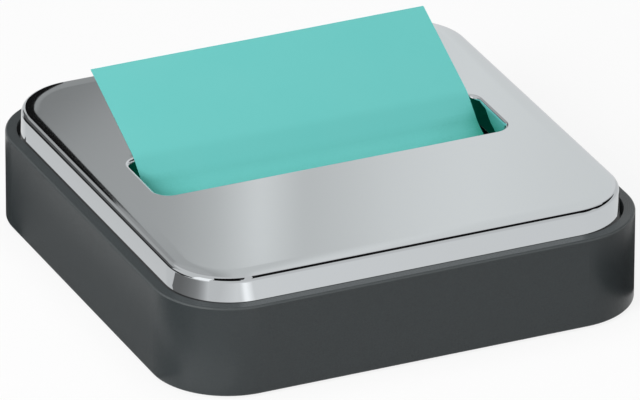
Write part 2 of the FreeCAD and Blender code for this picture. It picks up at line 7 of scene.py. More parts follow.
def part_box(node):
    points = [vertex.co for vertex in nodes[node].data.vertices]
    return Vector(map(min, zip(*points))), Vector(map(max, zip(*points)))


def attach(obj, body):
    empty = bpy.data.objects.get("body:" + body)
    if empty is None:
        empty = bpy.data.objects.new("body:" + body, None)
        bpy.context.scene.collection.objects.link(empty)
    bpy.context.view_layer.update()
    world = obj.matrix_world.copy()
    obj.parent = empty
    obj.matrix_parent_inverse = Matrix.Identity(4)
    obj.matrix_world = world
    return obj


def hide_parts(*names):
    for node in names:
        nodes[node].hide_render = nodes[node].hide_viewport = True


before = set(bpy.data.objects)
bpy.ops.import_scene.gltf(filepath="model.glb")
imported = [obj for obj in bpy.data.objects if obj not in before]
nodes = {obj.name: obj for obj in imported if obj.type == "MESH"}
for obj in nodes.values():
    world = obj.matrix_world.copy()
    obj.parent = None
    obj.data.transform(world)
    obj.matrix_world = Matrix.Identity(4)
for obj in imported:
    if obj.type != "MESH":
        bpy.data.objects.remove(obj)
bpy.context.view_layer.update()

# Camera, standing 2.3 m away on the left of the front with a long lens. It looks a little below
# the middle of the lid, so that the object sits in the frame as in the photograph. Its lens and
# its aim are given in pixels of that frame.
view_target = Vector((0, 0, 0.0205))
view_side, view_height, view_roll = math.radians(-24.41), math.radians(26.02), math.radians(0.20)
view_back = Vector((math.sin(view_side) * math.cos(view_height),
                    -math.cos(view_side) * math.cos(view_height), math.sin(view_height)))
view_right = Vector((0, 0, 1)).cross(view_back).normalized()
view_up = view_back.cross(view_right)
picture_width, sensor_width, lens_pixels, view_distance = 640, 36, 10865, 2.255
aim_right, aim_down = 2.13, 32.84
aim = view_target + (aim_right * view_right - aim_down * view_up) * view_distance / lens_pixels
camera = bpy.data.objects.new("camera", bpy.data.cameras.new("camera"))
bpy.context.scene.collection.objects.link(camera)
camera.data.sensor_width = sensor_width
camera.data.lens = lens_pixels * sensor_width / picture_width
camera.location = view_target + view_back * view_distance
toward = (camera.location - aim).normalized()
turn = toward.to_track_quat("Z", "Y").to_matrix() @ Matrix.Rotation(view_roll, 3, "Z")
camera.rotation_euler = turn.to_euler()
camera.data.clip_end = 50
bpy.context.scene.camera = camera
bpy.context.scene.view_settings.view_transform = "Standard"


# Studio floor: a pale sweep without an edge. It takes the object's shadow, glossy surfaces see it
# a little darker than white, and from below it is clear so that the feet can be seen.
def new_material(name):
    """Empty node tree with an output; returns the material, its nodes and a link function."""
    material = bpy.data.materials.new(name)
    material.use_nodes = True
    tree = material.node_tree
    tree.nodes.clear()
    output = tree.nodes.new("ShaderNodeOutputMaterial")
    return material, tree.nodes, tree.links.new, output


def mesh_object(name, points, faces):
    mesh = bpy.data.meshes.new(name)
    mesh.from_pydata(points, [], faces)
    item = bpy.data.objects.new(name, mesh)
    bpy.context.scene.collection.objects.link(item)
    return item


def feed(link, value, socket):
    """Links an output to an input, or sets the input to a plain value."""
    if isinstance(value, bpy.types.NodeSocket):
        link(value, socket)
    else:
        socket.default_value = value


def arithmetic(make, link, operation, *values):
    """Product, sum or other operation on outputs or plain numbers."""
    item = make.new("ShaderNodeMath")
    item.operation = operation
    for socket, value in zip(item.inputs, values):
        feed(link, value, socket)
    return item.outputs[0]


def mixed(make, link, share, first, second):
    """Mix of two shaders, by a plain number or the output of a node."""
    mix = make.new("ShaderNodeMixShader")
    for socket, value in zip(mix.inputs, (share, first, second)):
        feed(link, value, socket)
    return mix.outputs[0]


def tone_ramp(make, link, share, stops):
    """Colour ramp from (position, tone) pairs, where a tone is a grey or a colour."""
    ramp = make.new("ShaderNodeValToRGB")
    link(share, ramp.inputs["Fac"])
    spots = ramp.color_ramp.elements
    for index, (position, tone) in enumerate(stops):
        spot = spots[index] if index < 2 else spots.new(position)
        spot.position = position
        spot.color = (*tone, 1) if isinstance(tone, tuple) else (tone, tone, tone, 1)
    return ramp.outputs["Color"]


def object_place(make):
    return make.new("ShaderNodeTexCoord").outputs["Object"]


def axes_of(make, link, value):
    """The X, Y and Z outputs of a place or direction."""
    axes = make.new("ShaderNodeSeparateXYZ")
    link(value, axes.inputs[0])
    return axes.outputs


floor_reach, floor_tone, white_share, ramp_reach = 6, 0.84, 0.86, 0.1
floor = mesh_object("studio_floor",
                    [(x * floor_reach, y * floor_reach, 0)
                     for x, y in ((-1, -1), (1, -1), (1, 1), (-1, 1))], [(0, 1, 2, 3)])
floor_finish, make, link, output = new_material("studio_floor")
paper = make.new("ShaderNodeBsdfDiffuse")
paper.inputs["Color"].default_value = (floor_tone, floor_tone, floor_tone, 1)
white = make.new("ShaderNodeEmission")
path = make.new("ShaderNodeLightPath")
whitened = arithmetic(make, link, "MULTIPLY", path.outputs["Is Camera Ray"], white_share)
lit = mixed(make, link, whitened, paper.outputs[0], white.outputs[0])
across = make.new("ShaderNodeMapRange")
across.inputs["From Min"].default_value = -ramp_reach
across.inputs["From Max"].default_value = ramp_reach
link(axes_of(make, link, object_place(make))["X"], across.inputs["Value"])
mirrored = make.new("ShaderNodeEmission")
link(tone_ramp(make, link, across.outputs[0], [(0.12, 0.61), (0.25, 0.76), (1.0, 0.70)]),
     mirrored.inputs["Color"])
shown = mixed(make, link, path.outputs["Is Glossy Ray"], lit, mirrored.outputs[0])
side = make.new("ShaderNodeNewGeometry")
clear = make.new("ShaderNodeBsdfTransparent")
link(mixed(make, link, side.outputs["Backfacing"], shown, clear.outputs[0]),
     output.inputs["Surface"])
floor.data.materials.append(floor_finish)


# Studio light: an even room, a soft key lamp on the left and a wide one overhead. The lamps aren't
# mirrored in the object: what glossy surfaces see is the room's grey and the cards below.
world = bpy.data.worlds.new("studio")
bpy.context.scene.world = world
world.use_nodes = True
make, link = world.node_tree.nodes, world.node_tree.links.new
path = make.new("ShaderNodeLightPath")
room, mirrored_room, backdrop = 0.17, 0.62, 1.0
level = room
for ray, seen in (("Is Glossy Ray", mirrored_room), ("Is Camera Ray", backdrop)):
    level = arithmetic(make, link, "MULTIPLY_ADD", path.outputs[ray], seen - room, level)
link(level, make["Background"].inputs["Strength"])
make["Background"].inputs["Color"].default_value = (1, 1, 1, 1)


def lamp(name, place, size, power):
    """Square soft lamp that points at the middle of the object and isn't mirrored in it."""
    light = bpy.data.lights.new(name, "AREA")
    light.size, light.energy = size, power
    item = bpy.data.objects.new(name, light)
    bpy.context.scene.collection.objects.link(item)
    item.location = place
    item.rotation_euler = (Vector(place) - view_target).to_track_quat("Z", "Y").to_euler()
    item.visible_camera = item.visible_glossy = False


lamp("key_lamp", place=(-0.90, -0.55, 0.70), size=0.5, power=12.2)
lamp("top_lamp", place=(0.05, 0.10, 1.30), size=0.9, power=8.3)


# Cards that only glossy surfaces see. They draw the dark lines along the polished edges of the
# lid, the slow change of grey across its top and the streaks in its front left corner.
def card(name, points, faces, shade, again=0.85):
    """Card of plain light or shade, with another shade for a mirror of a mirror; the points are
    in millimetres."""
    item = mesh_object(name, [tuple(c / 1000 for c in p) for p in points], faces)
    finish, make, link, output = new_material(name)
    glow, grey = make.new("ShaderNodeEmission"), make.new("ShaderNodeEmission")
    glow.inputs["Color"].default_value = (shade, shade, shade, 1)
    grey.inputs["Color"].default_value = (again, again, again, 1)
    path = make.new("ShaderNodeLightPath")
    twice = arithmetic(make, link, "GREATER_THAN", path.outputs["Glossy Depth"], 1.5)
    link(mixed(make, link, twice, glow.outputs[0], grey.outputs[0]), output.inputs["Surface"])
    item.data.materials.append(finish)
    item.visible_camera = item.visible_diffuse = item.visible_shadow = False
    item.visible_transmission = item.visible_volume_scatter = False
    return glow, make, link


def flat_card(name, outline, height, shade):
    """Level card with (x, y) corners."""
    return card(name, [(x, y, height) for x, y in outline], [tuple(range(len(outline)))], shade)


def wall_card(name, outline, shade, radius=440):
    """Upright card through (compass direction, height) corners, close to flat."""
    corners = [(math.radians(way), z) for way, z in outline]
    return card(name, [(radius * math.cos(a), radius * math.sin(a), z) for a, z in corners],
                [tuple(range(len(corners)))], shade)


def strip_card(name, start, end, near, far, shade, again=0.85):
    """Card round the object between two rims of (radius, height), from one compass direction to
    another, in degrees from +X towards +Y."""
    steps = math.ceil((end - start) / 3)
    ways = [math.radians(start + (end - start) * i / steps) for i in range(steps + 1)]
    return card(name, [(r * math.cos(a), r * math.sin(a), z) for r, z in (near, far) for a in ways],
                [(i, i + 1, steps + 2 + i, steps + 1 + i) for i in range(steps)], shade, again)


def round_card(name, start, end, low, high, shade, again=0.85, radius=445):
    """Upright card bent round the object, from one height to another."""
    return strip_card(name, start, end, (radius, low), (radius, high), shade, again)


def ring_card(name, start, end, inner, outer, shade):
    """Card on the table, part of a ring between two radii."""
    return strip_card(name, start, end, (inner, table), (outer, table), shade)


def shade_by_compass(parts, stops, lean=0, foot=0):
    """Lets the light of a card change with the compass direction, by (degrees, shade) pairs. The
    pattern leans by a number of degrees per millimetre above its foot."""
    glow, make, link = parts
    place = object_place(make)
    compass = make.new("ShaderNodeTexGradient")
    compass.gradient_type = "RADIAL"
    link(place, compass.inputs["Vector"])
    leaning = arithmetic(make, link, "MULTIPLY_ADD", axes_of(make, link, place)["Z"],
                         lean * 1000 / 360, compass.outputs["Fac"])
    link(tone_ramp(make, link, leaning,
                   [(((180 + way + lean * foot) / 360) % 1, tone) for way, tone in stops]),
         glow.inputs["Color"])


# behind the object: the greys of the lid's top, darker towards the left
black, dusk, table, crown_start, ceiling = 0.008, 0.05, 0.3, 280, 440
shade_by_compass(round_card("rear_card", 40, 79.5, 0, crown_start, 0.7),
                 [(56.2, 0.74), (58.6, 0.755), (59.9, 0.80), (61.2, 0.78), (62.8, 0.755),
                  (63.7, 0.70), (64.6, 0.66), (66.0, 0.595), (66.8, 0.60), (67.3, 0.73),
                  (67.65, 0.83), (68.0, 0.74), (68.6, 0.60), (69.3, 0.49), (69.9, 0.455),
                  (70.6, 0.415), (71.2, 0.405), (72.5, 0.385)])
shade_by_compass(round_card("upper_rear_card", 40, 88, crown_start, 700, 0.7),
                 [(56.2, 0.74), (58.6, 0.755), (59.9, 0.79), (61.2, 0.77), (62.8, 0.73),
                  (63.7, 0.67), (64.6, 0.645), (66.0, 0.61), (67.7, 0.62), (68.6, 0.60),
                  (69.3, 0.55), (70.6, 0.50), (72.5, 0.42)], lean=0.006, foot=crown_start)
shade_by_compass(round_card("rear_left_card", 71.6, 79.5, 0, 352, 0.4, radius=442),
                 [(62, 0.42), (70, 0.41), (71.6, 0.40), (72.8, 0.385), (74.2, 0.35), (74.9, 0.30),
                  (75.6, 0.27), (76.3, 0.21), (77.5, 0.25), (79, 0.33)], lean=-0.15, foot=240)

# behind and on the left: the black lines round the lid's back left corner and left edge
wall_card("corner_flag", [(79.3, 235), (77.0, 165), (75.8, 95), (86, 95), (86, 306), (79.3, 306)],
          black)
wall_card("crown_shade", [(79.3, 306), (86, 306), (86, 352), (79.3, 352)], 0.34)
wall_card("corner_light", [(73, 370), (80, 370), (80, 520), (73, 520)], 0.45)
round_card("left_edge_light", 86, 150, 240, 440, 0.42, again=0.4)
round_card("left_edge_shade", 100, 150, 70, 240, 0.11, again=0.4)
round_card("left_low_flag", 112, 190, 0, 70, 0.02, again=0.4)
ring_card("far_table_flag", 118, 190, 128, 445, 0.02)

# in front and on the right: the black lines along those edges, and the light dash of the corner
round_card("corner_dash", 192, 216, 0, 440, 1.1)
round_card("front_left_flag", 219, 262, 250, 440, black)
round_card("front_fill", 262, 305, 60, 440, mirrored_room, again=1.4)
round_card("right_flag", -30, 25, 230, 440, black)
flat_card("ceiling_right_flag", [(110, 62), (460, 62), (460, -440), (100, -440), (95, -43)],
          ceiling, black)
flat_card("ceiling_left_flag", [(46, -60), (-165, -60), (-243, -158), (-360, -280),
                                (-330, -440), (-12, -440), (-3, -375)], ceiling, black)

# on the table round the base: what the upright band mirrors
shade_by_compass(ring_card("table_shade", 186, 220, 84, 127, 0.2),
                 [(-174, 0.145), (-166, 0.15), (-158, 0.19), (-152, 0.24), (-149, 0.29),
                  (-146.5, 0.37), (-144, 0.46), (-142, 0.56), (-140, 0.645)])
shade_by_compass(ring_card("table_light", 245.5, 257.5, 92, 118, 1.0),
                 [(-114.5, 0.74), (-112, 0.92), (-110.5, 1.13), (-108.5, 1.13), (-106, 0.98),
                  (-102.5, 0.74)])
flat_card("left_table_shade", [(-53.6, -38), (-60, -46), (-67.4, -40), (-67.4, 64), (-53.6, 32)],
          table, 0.28)
flat_card("corner_table_light", [(-53, -46), (-63, -46), (-67, -50), (-62, -62), (-50, -68),
                                 (-42, -66), (-45, -55)], table, 1.0)
flat_card("rear_table_dusk", [(-53.6, 32), (-67.4, 64), (-67.4, 79), (-30, 79), (-30, 54)],
          table, dusk)
flat_card("right_table_dusk", [(54, -54), (51, -78), (60, -79), (72, -70), (80, -55), (82, -25),
                               (82, 60), (54, 60)], table, dusk)


# Lid cover: one pressing of stainless steel with a satin top and polished edges, band and slot.
# Its rim sits in a gap of the base, and the slot's edges roll over and turn down as a throat.
def rounded_outline(half_x, half_y, radius, corner_steps=28, side_steps=4):
    """Points round a rectangle with round corners, with the way out at each, anticlockwise."""
    found = []
    signs = [(1, 1), (-1, 1), (-1, -1), (1, -1)]
    for quarter, (sign_x, sign_y) in enumerate(signs):
        mid_x, mid_y = sign_x * (half_x - radius), sign_y * (half_y - radius)
        for step in range(corner_steps + 1):
            angle = math.pi / 2 * (quarter + step / corner_steps)
            way = (math.cos(angle), math.sin(angle))
            found.append((mid_x + radius * way[0], mid_y + radius * way[1], *way))
        after_x, after_y = signs[(quarter + 1) % 4]
        end_x, end_y = after_x * (half_x - radius), after_y * (half_y - radius)
        far = (end_x + radius * way[0], end_y + radius * way[1])
        near = found[-1]
        for step in range(1, side_steps):
            share = step / side_steps
            found.append((near[0] + (far[0] - near[0]) * share,
                          near[1] + (far[1] - near[1]) * share, *way))
    return found


def loft(name, profile):
    """Closed skin through stacked outlines. Each step of the profile is (half_x, half_y, radius,
    z, tilt before, tilt after, slot), where a tilt is the normal's angle from straight up towards
    the way out, in degrees, and slot is the material of the strip that follows."""
    rings = [rounded_outline(*step[:3]) for step in profile]
    count = len(rings[0])
    points = [(x / 1000, y / 1000, step[3] / 1000) for step, ring in zip(profile, rings)
              for x, y, *way in ring]
    faces, normals, slots = [], [], []
    for index, step in enumerate(profile):
        after = (index + 1) % len(profile)
        tilts = math.radians(step[5]), math.radians(profile[after][4])
        for k in range(count):
            j = (k + 1) % count
            faces.append((index * count + k, index * count + j, after * count + j,
                          after * count + k))
            slots.append(step[6])
            for tilt, at in ((tilts[0], k), (tilts[0], j), (tilts[1], j), (tilts[1], k)):
                way_x, way_y = rings[0][at][2:]
                normals.append((math.sin(tilt) * way_x, math.sin(tilt) * way_y,
                                math.cos(tilt)))
    item = mesh_object(name, points, faces)
    item.data.polygons.foreach_set("material_index", slots)
    item.data.polygons.foreach_set("use_smooth", [True] * len(faces))
    item.data.normals_split_custom_set(normals)
    return item


def bend(middle, radius, start, end, steps):
    """Arc of a profile as (inset, z, tilt); the tilt turns from start to end."""
    tilts = [start + (end - start) * step / steps for step in range(steps + 1)]
    return [(middle[0] - radius * math.sin(math.radians(t)),
             middle[1] + radius * math.cos(math.radians(t)), t) for t in tilts]


def box_in_mm(node):
    """Lowest and highest corner of a CAD node in millimetres."""
    return [Vector(corner) * 1000 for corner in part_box(node)]


lid_low, lid_high = box_in_mm("lid_cover")
rim_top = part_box("base_shell")[1][2] * 1000
lid_half, lid_corner, lid_foot, lid_top = lid_high.x, 14.3, lid_low.z, lid_high.z
skin, draft = 0.8, 1.5
crown_width, crown_drop, crown_radius, edge_round = 2.8, 0.4, 20, 1.1
slot_half_x, slot_half_y, slot_corner, lip_round = 39.75, 9.2, 3.2, 0.8
throat_depth, hem_round, below_rim = 6, 0.3, 0.22
throat_foot, gap_line = lid_top - throat_depth, rim_top - below_rim
lean = math.tan(math.radians(draft))
slope = math.degrees(math.atan2(crown_drop, crown_width + crown_drop * lean))
knee = ((lid_top - crown_drop - lid_foot) * lean, lid_top - crown_drop)
tangent = edge_round * math.tan(math.radians((90 - draft - slope) / 2))
edge_middle = (knee[0] - tangent * math.sin(math.radians(draft))
               + edge_round * math.cos(math.radians(draft)),
               knee[1] - tangent * math.cos(math.radians(draft))
               - edge_round * math.sin(math.radians(draft)))
flat_start = (knee[0] + crown_width + crown_drop * lean
              + crown_radius * math.tan(math.radians(slope / 2)))
# the band's foot down in the gap and the faces inside the pressing take near-black steel, painted
# shade
satin, polished, painted_shade = 0, 1, 2


def lid_step(inset, z, before, after, slot):
    return (lid_half - inset, lid_half - inset, lid_corner - inset, z, before, after, slot)


def slot_step(outset, z, before, after, slot):
    return (slot_half_x + outset, slot_half_y + outset, slot_corner + outset, z, before, after,
            slot)


upright = 90 - draft
profile = [lid_step(0, lid_foot, 180, upright, painted_shade),
           lid_step((gap_line - lid_foot) * lean, gap_line, upright, upright, polished)]
for inset, z, tilt in bend(edge_middle, edge_round, upright, slope, 20):
    profile.append(lid_step(inset, z, tilt, tilt, polished))
for inset, z, tilt in bend((flat_start, lid_top - crown_radius), crown_radius, slope, 0, 10):
    profile.append(lid_step(inset, z, tilt, tilt, satin))
for inset, z, tilt in bend((-lip_round, lid_top - lip_round), lip_round, 0, -90, 12):
    profile.append(slot_step(-inset, z, tilt, tilt, polished))
for inset, z, tilt in bend((-hem_round, throat_foot + hem_round), hem_round, -90, -180, 6):
    profile.append(slot_step(-inset, z, tilt, tilt, polished))
profile += [
    slot_step(skin, throat_foot, 180, 90, painted_shade),
    slot_step(skin, lid_top - skin, 90, 180, painted_shade),
    lid_step(skin + (lid_top - skin - lid_foot) * lean, lid_top - skin, 180, -90, painted_shade),
    lid_step(skin, lid_foot, -90, 180, painted_shade),
]
lid_cover = loft("lid_cover_pressing", profile)


def principled(name, color, roughness, metallic=0.0):
    material, make, link, output = new_material(name)
    shader = make.new("ShaderNodeBsdfPrincipled")
    shader.inputs["Base Color"].default_value = (*color, 1)
    shader.inputs["Roughness"].default_value = roughness
    shader.inputs["Metallic"].default_value = metallic
    link(shader.outputs[0], output.inputs["Surface"])
    return material


def opened(material):
    """Nodes, link function and shader of a Principled material, to add to it."""
    tree = material.node_tree
    return tree.nodes, tree.links.new, tree.nodes["Principled BSDF"]


def shared_effect(name, inputs, outputs):
    """Shader node group with named sockets; returns it with its nodes, links and both ends."""
    tree = bpy.data.node_groups.new(name, "ShaderNodeTree")
    for label, value in inputs.items():
        tree.interface.new_socket(label, in_out="INPUT",
                                  socket_type="NodeSocketFloat").default_value = value
    for label, kind in outputs.items():
        tree.interface.new_socket(label, in_out="OUTPUT", socket_type=kind)
    make = tree.nodes
    return tree, make, tree.links.new, make.new("NodeGroupInput"), make.new("NodeGroupOutput")


def use_effect(make, group, values):
    """Group node in a material; underscores in the names of its inputs stand for spaces."""
    item = make.new("ShaderNodeGroup")
    item.node_tree = group
    for label, value in values.items():
        item.inputs[label.replace("_", " ")].default_value = value
    return item


def scaled_place(make, link, size):
    """Object coordinates divided by a size in millimetres."""
    place = make.new("ShaderNodeVectorMath")
    place.operation = "SCALE"
    link(object_place(make), place.inputs[0])
    link(arithmetic(make, link, "DIVIDE", 1000, size), place.inputs["Scale"])
    return place.outputs[0]


def noise(make, link, place, **values):
    found = make.new("ShaderNodeTexNoise")
    link(place, found.inputs["Vector"])
    for label, value in values.items():
        found.inputs[label].default_value = value
    return found.outputs["Fac"]


def span(make, link, share, low, high):
    """A share between 0 and 1 mapped to a range."""
    found = make.new("ShaderNodeMapRange")
    link(share, found.inputs["Value"])
    link(low, found.inputs["To Min"])
    link(high, found.inputs["To Max"])
    return found.outputs[0]


def relief(make, link, height, depth):
    """Normal of a bumpy surface, from a height and the depth of the bumps in millimetres."""
    bump = make.new("ShaderNodeBump")
    link(height, bump.inputs["Height"])
    link(arithmetic(make, link, "DIVIDE", depth, 1000), bump.inputs["Distance"])
    return bump.outputs[0]


# fine marks that polishing and handling leave on bare metal
metal_marks, make, link, enter, leave = shared_effect(
    "metal_marks", {"Grain Size": 0.4, "Smudge Size": 18, "Low": 0.05, "High": 0.08, "Depth": 0.001},
    {"Roughness": "NodeSocketFloat", "Normal": "NodeSocketVector"})
grain = noise(make, link, scaled_place(make, link, enter.outputs["Grain Size"]))
smudge = noise(make, link, scaled_place(make, link, enter.outputs["Smudge Size"]), Detail=4)
both = arithmetic(make, link, "MULTIPLY", grain, smudge)
link(span(make, link, both, enter.outputs["Low"], enter.outputs["High"]),
     leave.inputs["Roughness"])
link(relief(make, link, grain, enter.outputs["Depth"]), leave.inputs["Normal"])


def metal(name, color, roughness, metallic=1.0, **marks):
    """Metal whose gloss and surface follow its marks."""
    material = principled(name, color, roughness, metallic)
    make, link, shader = opened(material)
    effect = use_effect(make, metal_marks, marks)
    for label in ("Roughness", "Normal"):
        link(effect.outputs[label], shader.inputs[label])
    return material


lid_finishes = [
    metal("steel_satin", (0.735, 0.778, 0.795), 0.09, Grain_Size=0.25, Smudge_Size=22, Low=0.06,
          High=0.10, Depth=0.0003),
    metal("steel_polished", (0.745, 0.778, 0.80), 0.04, Grain_Size=0.5, Smudge_Size=15, Low=0.025,
          High=0.05, Depth=0.0001),
    # painted shade: near-black steel for the band's foot in the gap and the inner faces
    metal("steel_hidden", (0.05, 0.052, 0.054), 0.45, metallic=0.6, Grain_Size=0.6, Smudge_Size=9,
          Low=0.35, High=0.6, Depth=0.002),
]
for finish in lid_finishes:
    lid_cover.data.materials.append(finish)
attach(lid_cover, "root")
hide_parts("lid_cover")


# Base shell: one charcoal moulding of hard plastic with a fine spark-eroded surface, which the
# steel band doesn't mirror. Its rounded edges are coloured lighter as a painted highlight, and deep
# in the gap round the lid it has no shine.
moulded_grain, make, link, enter, leave = shared_effect(
    "moulded_grain", {"Grain Size": 0.3, "Depth": 0.006, "Cloud Size": 14, "Low": 0.45,
                      "High": 0.6},
    {"Tone": "NodeSocketFloat", "Roughness": "NodeSocketFloat", "Normal": "NodeSocketVector"})
grain = noise(make, link, scaled_place(make, link, enter.outputs["Grain Size"]), Detail=3)
cloud = noise(make, link, scaled_place(make, link, enter.outputs["Cloud Size"]), Detail=5)
link(cloud, leave.inputs["Tone"])
link(span(make, link, grain, enter.outputs["Low"], enter.outputs["High"]),
     leave.inputs["Roughness"])
link(relief(make, link, grain, enter.outputs["Depth"]), leave.inputs["Normal"])


def two_tone(make, link, share, *tones):
    """Colour between two tones, each of them a plain colour or an output."""
    tone = make.new("ShaderNodeMix")
    tone.data_type = "RGBA"
    link(share, tone.inputs["Factor"])
    for label, color in zip("AB", tones):
        feed(link, (*color, 1) if isinstance(color, tuple) else color, tone.inputs[label])
    return tone.outputs["Result"]


def moulded(name, dark, light, specular, **grain):
    """Moulded plastic or rubber whose colour drifts between two tones."""
    material = principled(name, dark, 0.5)
    make, link, shader = opened(material)
    effect = use_effect(make, moulded_grain, grain)
    link(two_tone(make, link, effect.outputs["Tone"], dark, light), shader.inputs["Base Color"])
    for label in ("Roughness", "Normal"):
        link(effect.outputs[label], shader.inputs[label])
    shader.inputs["Specular IOR Level"].default_value = specular
    return material


def fed_by(shader, label):
    """The output that an input of a shader is linked to."""
    return shader.inputs[label].links[0].from_socket


def openness(make, link, reach, stops):
    """Grey that follows how open the surface lies, by what stands within a reach in metres."""
    closeness = make.new("ShaderNodeAmbientOcclusion")
    closeness.inputs["Distance"].default_value = reach
    closeness.samples = 8
    return tone_ramp(make, link, closeness.outputs["AO"], stops)


def dress(finish, name):
    """Gives a CAD node its material."""
    nodes[name].data.materials.clear()
    nodes[name].data.materials.append(finish)


base_finish = moulded(
    "base_plastic", (0.027, 0.034, 0.036), (0.031, 0.038, 0.041), specular=0.45, Grain_Size=0.3,
    Depth=0.003, Cloud_Size=16, Low=0.22, High=0.34)
make, link, shader = opened(base_finish)
facing = make.new("ShaderNodeNewGeometry")
flatness = arithmetic(make, link, "ABSOLUTE", axes_of(make, link, facing.outputs["Normal"])["Z"])
# painted highlight: where the normal leans on rounded edges, the colour is made lighter
painted_edge_highlight = tone_ramp(make, link, flatness, [(0.12, 0.0), (0.4, 1.0), (0.8, 1.0), (0.97, 0.0)])
link(two_tone(make, link, painted_edge_highlight, fed_by(shader, "Base Color"), (0.07, 0.078, 0.08)),
     shader.inputs["Base Color"])
dulled = openness(make, link, 0.004, [(0.15, 1.0), (0.5, 0.0)])
link(arithmetic(make, link, "MAXIMUM", dulled, fed_by(shader, "Roughness")),
     shader.inputs["Roughness"])
dress(base_finish, "base_shell")
nodes["base_shell"].visible_glossy = False


# Lid frame: the black moulding inside the lid. Only its collar shows, round the steel throat deep
# in the slot, and its ribs when the lid is lifted off.
frame_finish = moulded(
    "frame_plastic", (0.016, 0.016, 0.017), (0.021, 0.021, 0.022), specular=0.4, Grain_Size=0.4,
    Depth=0.006, Cloud_Size=10, Low=0.5, High=0.7)
dress(frame_finish, "lid_frame")


# Bottom cover: the flat black moulding that closes the base, screwed on from below, with a
# slightly coarser surface than the base.
cover_finish = moulded(
    "cover_plastic", (0.022, 0.023, 0.024), (0.030, 0.031, 0.032), specular=0.45, Grain_Size=0.5,
    Depth=0.010, Cloud_Size=20, Low=0.5, High=0.68)
dress(cover_finish, "bottom_cover")


# Ballast plate: a stamped plate of bare mild steel, laid between the well and the bottom cover.
# Its grey skin is mottled from rolling.
ballast_finish = metal("ballast_steel", (0.30, 0.30, 0.29), 0.45, Grain_Size=1.2, Smudge_Size=25,
                       Low=0.25, High=0.75, Depth=0.01)
make, link, shader = opened(ballast_finish)
mottle = noise(make, link, object_place(make), Scale=90, Detail=6)
link(tone_ramp(make, link, mottle, [(0.35, (0.22, 0.21, 0.20)), (0.65, (0.42, 0.42, 0.41))]),
     shader.inputs["Base Color"])
dress(ballast_finish, "ballast_plate")


# Cover screws: four pan-headed self-tapping screws of bright zinc-plated steel with a cross
# recess, sunk in the bottom cover. They are one turned piece, repeated at the corners.
def turned(name, profile, steps=48):
    """Skin turned round the Z axis through (radius, z) points in millimetres; radius 0 ends it."""
    shape = bmesh.new()
    rows = []
    for radius, z in profile:
        if radius == 0:
            rows.append([shape.verts.new((0, 0, z / 1000))] * steps)
            continue
        rows.append([shape.verts.new((radius / 1000 * math.cos(math.tau * k / steps),
                                      radius / 1000 * math.sin(math.tau * k / steps), z / 1000))
                     for k in range(steps)])
    for low, high in zip(rows, rows[1:]):
        for k in range(steps):
            j = (k + 1) % steps
            corners = dict.fromkeys((low[k], low[j], high[j], high[k]))
            shape.faces.new(list(corners)).smooth = True
    return shape, rows[0]


def finished_mesh(name, shape):
    """Plain object from a turned shape, with its faces turned outwards and its edges sharp."""
    bmesh.ops.recalc_face_normals(shape, faces=shape.faces)
    item = mesh_object(name, [], [])
    shape.to_mesh(item.data)
    shape.free()
    item.data.set_sharp_from_angle(angle=math.radians(35))
    return item


head_radius, head_height, shank_radius, screw_length, tip_length = 2.6, 1.3, 1.2, 8.0, 1.4
face_share, rim_share = 0.72, 0.35
thread_pitch, thread_depth, thread_turns, thread_start = 0.9, 0.22, 6, 0.5
cross_span, cross_width, cross_depth, cross_taper = 2.8, 0.7, 0.8, 0.6
face_radius, core_radius = head_radius * face_share, shank_radius - thread_depth
screw_profile = [(face_radius, -head_height)]
for share in (0.25, 0.5, 0.75, 1.0):
    angle = math.pi / 2 * share
    screw_profile.append((face_radius + (head_radius - face_radius) * math.sin(angle),
                          -head_height * (rim_share + (1 - rim_share) * math.cos(angle))))
screw_profile += [(head_radius, 0), (core_radius, 0)]
for ridge in range(thread_turns):
    start = thread_start + ridge * thread_pitch
    screw_profile += [(core_radius, start), (shank_radius, start + thread_pitch / 2),
                      (core_radius, start + thread_pitch)]
screw_profile += [(core_radius, screw_length - tip_length), (0, screw_length)]
shape, face_rim = turned("screw", screw_profile)
arm, web = cross_span / 2000, cross_width / 2000
cross = [(-web, -arm), (web, -arm), (web, -web), (arm, -web), (arm, web), (web, web), (web, arm),
         (-web, arm), (-web, web), (-arm, web), (-arm, -web), (-web, -web)]
mouth = [shape.verts.new((x, y, -head_height / 1000)) for x, y in cross]
pit = [shape.verts.new((cross_taper * x, cross_taper * y, (cross_depth - head_height) / 1000))
       for x, y in cross]
mouth_after, pit_after, rim_after = (loop[1:] + loop[:1] for loop in (mouth, pit, face_rim))
mouth_edges = [shape.edges.new(ends) for ends in zip(mouth, mouth_after)]
rim_edges = [shape.edges.get(ends) for ends in zip(face_rim, rim_after)]
bmesh.ops.triangle_fill(shape, edges=mouth_edges + rim_edges, use_beauty=True)
for corners in zip(mouth, mouth_after, pit_after, pit):
    shape.faces.new(corners)
shape.faces.new(pit)
screw = finished_mesh("screw", shape)


def node_shape(name, inputs):
    """Geometry node tree with named inputs; returns it with its nodes, links and both ends."""
    tree = bpy.data.node_groups.new(name, "GeometryNodeTree")
    for label, (kind, value) in inputs.items():
        socket = tree.interface.new_socket(label, in_out="INPUT", socket_type=kind)
        if value is not None:
            socket.default_value = value
    tree.interface.new_socket("Geometry", in_out="OUTPUT", socket_type="NodeSocketGeometry")
    make = tree.nodes
    return tree, make, tree.links.new, make.new("NodeGroupInput"), make.new("NodeGroupOutput")


def vector(make, link, **axes):
    """Vector with the named axes linked and the others at zero."""
    item = make.new("ShaderNodeCombineXYZ")
    for axis, value in axes.items():
        link(value, item.inputs[axis])
    return item.outputs[0]


def chance(make, link, low, high, seed):
    """Random number between two others for each point."""
    item = make.new("FunctionNodeRandomValue")
    item.data_type = "FLOAT"
    feed(link, low, item.inputs[2])
    feed(link, high, item.inputs[3])
    link(seed, item.inputs["Seed"])
    return item.outputs[1]


def moved(make, link, points, offset):
    item = make.new("GeometryNodeSetPosition")
    link(points, item.inputs["Geometry"])
    link(offset, item.inputs["Offset"])
    return item.outputs[0]


